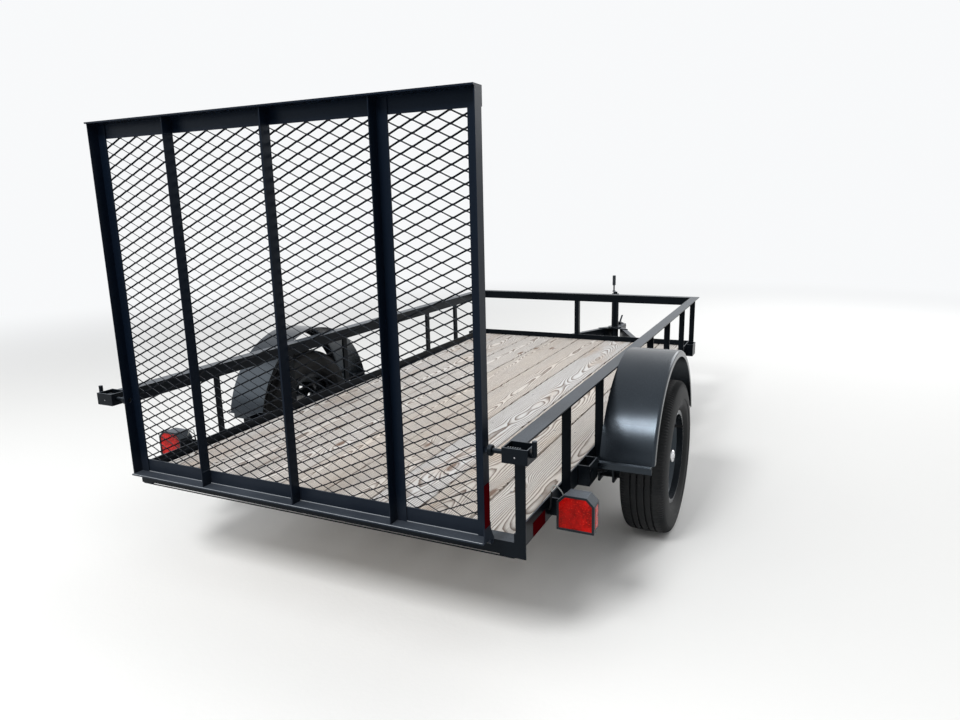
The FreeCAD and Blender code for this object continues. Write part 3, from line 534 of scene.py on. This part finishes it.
def deck():
    """Single boards with rounded edges; each carries the seed and the grain map that its pine reads."""
    low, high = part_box("deck_boards")
    starts, width = board_places()
    for i, x0 in enumerate(starts):
        form = box_form(x0, x0 + width, low.y, high.y, low.z, high.z)
        board = piece("deck_board_%d" % (i + 1), *form, deck_pine, "chassis", "deck_pine")
        soften(board, 0.003)
        seed = (chance.random(), chance.random(), chance.random())
        layer = board.data.attributes.new("seed", "FLOAT_VECTOR", "POINT")
        for item in layer.data:
            item.vector = seed
        grain = board.data.uv_layers.new(name="grain")
        for loop in board.data.loops:
            spot = board.data.vertices[loop.vertex_index].co
            grain.data[loop.index].uv = (spot.x - x0 - width / 2, spot.y)
        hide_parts("deck_boards")


deck()


# Expanded mesh of the gate
def gate_mesh():
    """Strands turned on edge that bend at each bond, in place of the two layers of straight ones."""
    low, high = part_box("gate_mesh_rising")
    long_pitch = 0.0762
    short_pitch = 0.03387
    wide = 0.0056
    thick = 0.0021
    clear = 0.0002
    bond = 0.0028
    lean = math.radians(58)
    wide_way = Vector((0, -math.sin(lean), math.cos(lean)))
    depth = wide * math.sin(lean) + thick * math.cos(lean)
    middle_y = low.y + depth / 2 + clear
    half_long = long_pitch / 2
    swing = short_pitch / 4 - wide * math.cos(lean) * 0.25
    rows = int((high.z - low.z) / (short_pitch / 2)) - 1
    base_z = (low.z + high.z) / 2 - rows * short_pitch / 4
    steps = int((high.x - low.x) / half_long) + 2
    pile = Pile()
    for row in range(rows + 1):
        z = base_z + row * short_pitch / 2
        path = []
        for k in range(steps + 1):
            x = (k - steps / 2) * half_long
            sign = 1 if (k + row) % 2 else -1
            for shift in (-bond, bond):
                path.append(Vector((x + shift, middle_y, z + sign * swing)))
        kept = [p for p in path if low.x <= p.x <= high.x]
        verts = []
        for spot, way in zip(kept, path_ways(kept)):
            flat = way.cross(wide_way).normalized()
            for a, b in ((-1, -1), (1, -1), (1, 1), (-1, 1)):
                verts.append(spot + wide_way * (a * wide / 2) + flat * (b * thick / 2))
        pile.add(verts, skin(len(kept), 4))
    made = piece("gate_expanded_mesh", pile.verts, pile.faces, mesh_paint, "gate", "frame_black")
    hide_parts("gate_mesh_rising", "gate_mesh_falling")


gate_mesh()


# Tyres
# Columns: distance from the middle of the tread, drop below the crown
tread_rows = (
    (0.0000, 0.0000),
    (0.0110, 0.0001),
    (0.0114, 0.0066),
    (0.0176, 0.0068),
    (0.0180, 0.0003),
    (0.0360, 0.0009),
    (0.0364, 0.0072),
    (0.0426, 0.0074),
    (0.0430, 0.0013),
    (0.0590, 0.0022),
    (0.0690, 0.0034),
    (0.0760, 0.0066),
    (0.0815, 0.0120),
    (0.0850, 0.0200),
    (0.0868, 0.0280),
    (0.0858, 0.0290),
    (0.0888, 0.0380),
    (0.0912, 0.0520),
    (0.0924, 0.0680),
    (0.0920, 0.0780),
    (0.0900, 0.0790),
    (0.0895, 0.0900),
    (0.0860, 0.1000),
    (0.0866, 0.1010),
    (0.0815, 0.1090),
    (0.0750, 0.1160),
    (0.0704, 0.1205),
    (0.0698, 0.1365),
)
tread_turns = 320
lug_from = 0.0030
lug_to = 0.0260
lug_cut = 0.0036
rib_from = 0.0005
rib_inner = 0.056
rib_cut = 0.0026
cut_pinch = 4


def tread_cut(i, across, drop):
    """How deep the tread is cut at step i round it: fine lugs on the shoulders, slots in the outer ribs."""
    slot_step = 0 if across > 0 else 2
    if rib_from < drop < lug_from and i % 4 == slot_step and abs(across) > rib_inner:
        return rib_cut
    if lug_from < drop < lug_to and i % 2 == 0:
        return lug_cut
    return 0.0


def tyre(side):
    """Tyre with grooves round it and a cut shoulder, of the same size as its node."""
    node = "tyre_" + side
    low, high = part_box(node)
    centre = (low + high) / 2
    crown = (high.z - low.z) / 2
    half = [(a, crown - d) for a, d in tread_rows]
    outline = [(-a, r) for a, r in reversed(half[1:])] + half
    verts = []
    faces = []
    count = len(outline)
    for i in range(tread_turns):
        angle = 2 * math.pi * i / tread_turns
        for across, radius in outline:
            cut = tread_cut(i, across, crown - radius)
            shape = radius - cut
            spread = across * (1.0 - cut * cut_pinch)
            verts.append(centre + Vector((spread, shape * math.sin(angle), shape * math.cos(angle))))
    for i in range(tread_turns):
        n = (i + 1) % tread_turns
        for k in range(count - 1):
            faces.append((i * count + k, i * count + k + 1, n * count + k + 1, n * count + k))
    made = piece("tread_tyre_" + side, verts, faces, rubber_black, "wheel_" + side, "tyre_rubber")
    smooth_flat(made, 0.5)
    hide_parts(node)


for _, word in both_sides:
    tyre(word)


# Latches. Columns of both outlines: radius, place along the axis
collar_outline = (
    (0.0072, 0.0),
    (0.0145, 0.0010),
    (0.0160, 0.0025),
    (0.0160, 0.0120),
    (0.0145, 0.0138),
    (0.0072, 0.0145),
)
rivet_outline = (
    (0.0024, 0.0),
    (0.0024, 0.0005),
    (0.0018, 0.0011),
    (0.0006, 0.0014),
)
housing_wide = 0.075
pin_r = 0.007
collar_gap = 0.0068
coil_r = 0.0150
coil_wire = 0.0021
coil_turns = 6
coil_inset = 0.0045
coil_long = 0.046
rivet_share = 0.42
rivet_in = 0.0006


def latch_parts():
    """Coil round each latch pin inside its housing, a collar on the pin by the gate, and a rivet."""
    low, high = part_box("latch_housings")
    pin_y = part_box("latch_pins")[0].y + pin_r
    gate_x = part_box("gate_side_bars")[1].x
    middle_z = low.z + (high.z - low.z) / 2
    rivet_z = low.z + (high.z - low.z) * rivet_share
    steps = coil_turns * 20
    inner = high.x - housing_wide + coil_inset
    outer = inner + coil_long
    for side, word in both_sides:
        path = []
        for i in range(steps + 1):
            a = 2 * math.pi * coil_turns * i / steps
            x = inner + coil_wire + (outer - inner - 2 * coil_wire) * i / steps
            path.append(Vector((side * x, pin_y + coil_r * math.cos(a), middle_z + coil_r * math.sin(a))))
        form = tube(path, coil_wire, 8)
        piece("latch_spring_" + word, *form, rim_paint, "chassis", "spring_black", True)
        form = turned(Vector((side * (gate_x + collar_gap), pin_y, middle_z)), X * side, collar_outline)
        made = piece("latch_collar_" + word, *form, black_paint, "chassis", "frame_black")
        smooth_flat(made, 0.6)
        rivet = Vector((side * (high.x - housing_wide * 0.5), low.y + rivet_in, rivet_z))
        form = turned(rivet, -Y, rivet_outline, 20)
        made = piece("latch_rivet_" + word, *form, worn_steel, "chassis", "bright_steel")
        smooth_flat(made, 0.6)


# Reflectors. Each strip lies from the first to the second value; y is from the frame's rear
strip_thick = 0.0009
frame_strip_y = (0.140, 0.246)
frame_strip_z = (0.363, 0.4100)
gate_strip_z = (0.475, 0.604)
gate_strip_inset = 0.003


def reflectors():
    """Bare red reflector strips: on the frame's sides near the rear and on the gate's side bars."""
    bar_low, bar_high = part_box("gate_side_bars")
    for side, word in both_sides:
        x = (side * frame_face, side * (frame_face + strip_thick))
        form = box_form(*x, *(rear_y + y for y in frame_strip_y), *frame_strip_z)
        made = piece("frame_reflector_" + word, *form, reflector_red, "chassis", "lens_red")
        soften(made, 0.0004, 1)
        x = (side * bar_high.x, side * (bar_high.x + strip_thick))
        form = box_form(*x, bar_low.y + gate_strip_inset, bar_high.y - gate_strip_inset, *gate_strip_z)
        made = piece("gate_reflector_" + word, *form, reflector_red, "gate", "lens_red")
        soften(made, 0.0004, 1)


# Lights
light_wide = 0.119
light_cut = 0.024
bezel_over = 0.0012
bezel_rim = 0.0065
bezel_front = 0.0022
bezel_back = 0.001
marker_thick = 0.0022
marker_front = 0.010
marker_back = 0.016
marker_low = 0.014
marker_high = 0.006
# The leads' distance from the frame's rear
lead_y = 0.275
# Columns: distance out from the frame's face, height
sleeve_route = (
    (0.0, 0.400),
    (0.0065, 0.404),
    (0.0095, 0.430),
    (0.0115, 0.460),
)
wire_route = (
    (0.0115, 0.456),
    (0.0145, 0.4775),
    (0.0215, 0.4825),
    (0.031, 0.480),
    (0.0405, 0.4715),
    (0.049, 0.459),
    (0.0565, 0.4395),
)


def light_outline(side, out):
    """Corners of a light's face in x and z, all moved out by the same distance."""
    low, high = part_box("tail_lenses")
    x0 = high.x - light_wide
    x1 = high.x
    slant = out * 0.4
    corners = [
        (x0 - out, low.z - out),
        (x1 + out, low.z - out),
        (x1 + out, high.z - light_cut + slant),
        (x1 - light_cut + slant, high.z + out),
        (x0 + light_cut - slant, high.z + out),
        (x0 - out, high.z - light_cut + slant),
    ]
    corners = [(side * x, z) for x, z in corners]
    if side < 0:
        corners.reverse()
    return corners


def lead_form(side, route, radius):
    """Verts and faces of a lead that follows a route beside the frame."""
    spots = [Vector((side * (frame_face + x), rear_y + lead_y, z)) for x, z in route]
    return tube(smooth_path(spots, 8), radius, 12)


def light_parts():
    """Dark frame round each lens, a side marker on its housing, and the lead from the frame."""
    low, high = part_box("tail_lenses")
    for side, word in both_sides:
        outer = light_outline(side, bezel_over)
        inner = light_outline(side, -bezel_rim)
        form = ring_plate(outer, inner, low.y - bezel_front, high.y + bezel_back)
        made = piece("light_bezel_" + word, *form, light_plastic, "chassis", "light_black")
        soften(made, 0.0012)
        form = box_form(
            side * high.x,
            side * (high.x + marker_thick),
            low.y + marker_front,
            high.y + marker_back,
            low.z + marker_low,
            high.z - light_cut - marker_high,
        )
        made = piece("light_side_marker_" + word, *form, lens_red, "chassis", "lens_red")
        soften(made, 0.0009)
        form = lead_form(side, sleeve_route, 0.0030)
        sleeve = piece("light_sleeve_" + word, *form, rubber_black, "chassis", "tyre_rubber", True)
        form = lead_form(side, wire_route, 0.0020)
        wire = piece("light_wire_" + word, *form, lead_plastic, "chassis", "light_black", True)
        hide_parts("light_leads")
        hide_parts("light_leads")


# Deck screws. Columns of the outline: radius, place along the axis
screw_outline = (
    (0.0047, 0.00025),
    (0.0047, 0.00045),
    (0.0026, 0.0005),
    (0.0022, 0.0001),
    (0.0010, 0.0001),
)
screw_sunk = 0.0002
# Places of the bars under the deck, as shares of its length
bar_places = (0.014, 0.113, 0.336, 0.504, 0.672, 0.875, 0.986)
# Places of the two screws on a board, as shares of its width
screw_places = (0.22, 0.78)


def deck_screws():
    """Two countersunk screws through each board into each bar under it."""
    low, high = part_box("deck_boards")
    starts, width = board_places()
    pile = Pile()
    for share in bar_places:
        for x0 in starts:
            for part in screw_places:
                x = x0 + width * part + chance.uniform(-0.006, 0.006)
                y = low.y + (high.y - low.y) * share + chance.uniform(-0.005, 0.005)
                pile.add(*turned(Vector((x, y, high.z - screw_sunk)), Z, screw_outline, 12))
    made = piece("deck_screws", pile.verts, pile.faces, worn_steel, "chassis", "bright_steel")
    smooth_flat(made, 0.5)


# Welds and painted edge highlights
bead = 0.0024
bead_lumps = 7
bead_end = 0.002
bead_out = 0.0006
stiffener_bead = 0.030
stiffener_edge = 0.0035
post_leg = 0.03175
gate_leg = 0.0508
gate_sheet = 0.00476
# Radius and end inset of the pale lines painted along the edges as highlights.
edge_line_r = 0.0013
edge_line_end = 0.004
# Places of the posts, as shares of the way from the first to the last
post_places = (0.0, 0.1353, 0.2666, 0.4171, 0.5672, 0.7118, 0.8686, 1.0)
stiffener_x = (-0.36, 0.025, 0.39)


def welds():
    """Weld beads at the feet and heads of the posts and at the ends of the gate's stiffeners."""
    pile = Pile()
    low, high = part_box("side_posts_r")
    rail_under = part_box("top_rail_r")[0].z
    for side, _ in both_sides:
        for share in post_places:
            y = low.y + (high.y - low.y - post_leg) * share
            for z in (frame_top, rail_under):
                a = Vector((side * (frame_face + bead_out), y + bead_end, z))
                pile.add(*weld(a, a + Y * (post_leg - 2 * bead_end), bead, bead_lumps))
    made = piece("post_welds", pile.verts, pile.faces, black_paint, "chassis", "frame_black")
    smooth_flat(made, 0.9)
    pile = Pile()
    low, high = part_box("gate_stiffeners")
    for x in stiffener_x:
        for z in (low.z + gate_leg, high.z - gate_leg):
            a = Vector((x - bead_end, high.y - stiffener_edge, z))
            pile.add(*weld(a, a - Y * stiffener_bead, bead, bead_lumps))
    made = piece("gate_welds", pile.verts, pile.faces, gate_paint, "gate", "frame_black")
    smooth_flat(made, 0.9)


def painted_edge_highlights():
    """Pale lines along the corner and the front edge of the gate's bottom bar: painted edge highlights."""
    low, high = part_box("gate_long_bars")
    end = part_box("gate_side_bars")[1].x - edge_line_end
    corner = (high.y - gate_sheet - edge_line_r, low.z + gate_sheet + edge_line_r)
    edge = (low.y + edge_line_r, low.z + gate_sheet)
    pile = Pile()
    for y, z in (corner, edge):
        pile.add(*tube([Vector((x, y, z)) for x in (-end, 0, end)], edge_line_r, 8))
    made = piece("gate_painted_edge_highlights", pile.verts, pile.faces, edge_highlight_paint, "gate", "frame_black")
    smooth_flat(made, 0.9)


# Wheels. Columns of both outlines: radius, place along the axis
cap_outline = (
    (0.0300, 0.0),
    (0.0300, 0.0020),
    (0.0262, 0.0040),
    (0.0262, 0.0420),
    (0.0250, 0.0455),
    (0.0225, 0.0475),
    (0.0120, 0.0480),
    (0.0115, 0.0500),
    (0.0070, 0.0505),
)
stem_outline = (
    (0.0070, 0.0),
    (0.0075, 0.004),
    (0.0055, 0.008),
    (0.0048, 0.022),
    (0.0052, 0.024),
    (0.0050, 0.036),
    (0.0030, 0.038),
)
cap_x = 0.9600
stem_in = 0.026
stem_reach = 0.100
edge_in = 0.0022
edge_bead = 0.0021


def wheel_parts():
    """Grease cap, valve stem and rolled rim edge of each wheel."""
    for side, word in both_sides:
        body = "wheel_" + word
        low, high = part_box("rim_" + word)
        centre = (low + high) / 2
        face = high.x if side > 0 else low.x
        rim_r = (high.z - low.z) / 2
        form = turned(Vector((side * cap_x, centre.y, centre.z)), X * side, cap_outline, 40)
        made = piece("grease_cap_" + word, *form, bright_steel, body, "bright_steel")
        smooth_flat(made, 0.6)
        stem = Vector((face - side * stem_in, centre.y + stem_reach, centre.z + stem_reach))
        form = turned(stem, X * side, stem_outline, 20)
        made = piece("valve_stem_" + word, *form, rubber_black, body, "tyre_rubber")
        smooth_flat(made, 0.6)
        path = ring(Vector((face - side * edge_in, centre.y, centre.z)), X, rim_r - edge_in, 96, closed=True)
        form = tube(path, edge_bead, 8)
        piece("rim_rolled_edge_" + word, *form, rim_paint, body, "frame_black", True)


# Jack
seam_r = 0.0286
seam_bead = 0.0012
seam_depths = (0.004, 0.030)
crank_angle = 110.0
crank_arm = 0.130
grip_drop = 0.082
grip_r = 0.0128
rib_r = 0.0136
rib_count = 8
rib_pitch = 0.0095


def jack_parts():
    """Ribbed grip on the crank's handle and two seams round the top of the jack's tube."""
    low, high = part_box("jack_tube")
    centre = Vector(((low.x + high.x) / 2, (low.y + high.y) / 2, high.z))
    pile = Pile()
    for depth in seam_depths:
        pile.add(*tube(ring(centre - Z * depth, Z, seam_r, 48, closed=True), seam_bead, 8))
    piece("jack_tube_seams", pile.verts, pile.faces, black_paint, "chassis", "frame_black", True)
    turn = math.radians(crank_angle)
    spot = centre + Vector((math.cos(turn), math.sin(turn), 0)) * crank_arm
    spot.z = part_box("jack_crank")[1].z - grip_drop
    outline = [(0.0120, 0.0), (grip_r, 0.0006)]
    for i in range(rib_count):
        z = 0.004 + i * rib_pitch
        outline.extend([(grip_r, z), (rib_r, z + 0.0018), (rib_r, z + 0.0058), (grip_r, z + 0.0076)])
    outline.extend([(grip_r, 0.0798), (0.0110, 0.0819)])
    made = piece("jack_grip_ribs", *turned(spot, Z, outline), grip_plastic, "jack_crank", "light_black")
    smooth_flat(made, 0.5)


latch_parts()
reflectors()
light_parts()
deck_screws()
welds()
painted_edge_highlights()
wheel_parts()
jack_parts()


# Floor, light and camera
back_white = (0.94, 0.95, 0.96, 1.0)
sky_strength = 0.60
fade_from = 3.2
fade_to = 9.0
floor_half = 60.0
lamp_target = Vector((0, 0, 0.5))
# Columns: name, place, size, power
lamps = (
    ("key", (2.6, 5.5, 4.6), 5.0, 250.0),
    ("fill", (-4.5, -4.5, 4.0), 4.0, 80.0),
    ("rear", (-0.3, -5.9, 5.2), 1.6, 310.0),
)


def seen_rays(tree):
    """1 for the rays that see the background: from the camera, a gloss or a clear piece."""
    paths = put(tree, "ShaderNodeLightPath", {})
    seen = calc(tree, "MAXIMUM", paths.outputs["Is Camera Ray"], paths.outputs["Is Glossy Ray"])
    return calc(tree, "MAXIMUM", seen, paths.outputs["Is Transmission Ray"])


def floor_material():
    """Pale floor that fades into the white background far from the trailer."""
    material, tree, shader = start_material("floor_pale")
    shader.inputs["Base Color"].default_value = (0.80, 0.80, 0.79, 1.0)
    shader.inputs["Roughness"].default_value = 0.9
    spots = places(tree)
    bump(tree, shader, noise(tree, spots, 60.0), 0.0005)
    away = put(tree, "ShaderNodeVectorMath", {0: spots}, operation="LENGTH").outputs["Value"]
    reach = {"Value": away, "From Min": fade_from, "From Max": fade_to}
    fade = put(tree, "ShaderNodeMapRange", reach, interpolation_type="SMOOTHSTEP").outputs[0]
    white = put(tree, "ShaderNodeEmission", {"Color": back_white, "Strength": 1.0})
    inputs = {0: times(tree, fade, seen_rays(tree)), 1: shader.outputs[0], 2: white.outputs[0]}
    mixed = put(tree, "ShaderNodeMixShader", inputs)
    out = [node for node in tree.nodes if node.bl_idname == "ShaderNodeOutputMaterial"][0]
    tree.links.new(mixed.outputs[0], out.inputs[0])
    return material


def stage():
    """The floor, a plain sky and three soft lamps."""
    corners = ((-1, -1), (1, -1), (1, 1), (-1, 1))
    data = bpy.data.meshes.new("floor")
    data.from_pydata([(x * floor_half, y * floor_half, 0) for x, y in corners], [], [(0, 1, 2, 3)])
    data.materials.append(floor_material())
    floor = bpy.data.objects.new("floor", data)
    scene.collection.objects.link(floor)
    world = bpy.data.worlds.new("studio")
    world.use_nodes = True
    tree = world.node_tree
    tree.nodes.clear()
    strength = calc(tree, "MULTIPLY_ADD", seen_rays(tree), 1.0 - sky_strength, sky_strength)
    back = put(tree, "ShaderNodeBackground", {"Color": back_white, "Strength": strength})
    out = put(tree, "ShaderNodeOutputWorld", {})
    tree.links.new(back.outputs[0], out.inputs[0])
    scene.world = world
    for name, place, size, power in lamps:
        lamp = bpy.data.lights.new(name, "AREA")
        lamp.size = size
        lamp.energy = power
        made = bpy.data.objects.new(name, lamp)
        made.location = place
        made.rotation_euler = (lamp_target - Vector(place)).to_track_quat("-Z", "Y").to_euler()
        scene.collection.objects.link(made)


def camera():
    """The camera that was fitted to the photo; angles are in radians, the lens is in millimetres."""
    place = Vector((1.4796, rear_y - 1.7180, 1.3624))
    yaw = 0.4439
    pitch = 0.2184
    roll = -0.0233
    ahead = Vector((-math.sin(yaw) * math.cos(pitch), math.cos(yaw) * math.cos(pitch), -math.sin(pitch)))
    level = Vector((math.cos(yaw), math.sin(yaw), 0))
    top = level.cross(ahead)
    right = level * math.cos(roll) + top * math.sin(roll)
    up = top * math.cos(roll) - level * math.sin(roll)
    turn = Matrix((right, up, -ahead)).transposed().to_4x4()
    data = bpy.data.cameras.new("photo_camera")
    data.sensor_fit = "HORIZONTAL"
    data.sensor_width = 36.0
    data.lens = 26.44
    data.clip_end = 200.0
    made = bpy.data.objects.new("photo_camera", data)
    made.matrix_world = Matrix.Translation(place) @ turn
    scene.collection.objects.link(made)
    scene.camera = made


stage()
camera()
scene.view_settings.view_transform = "Standard"
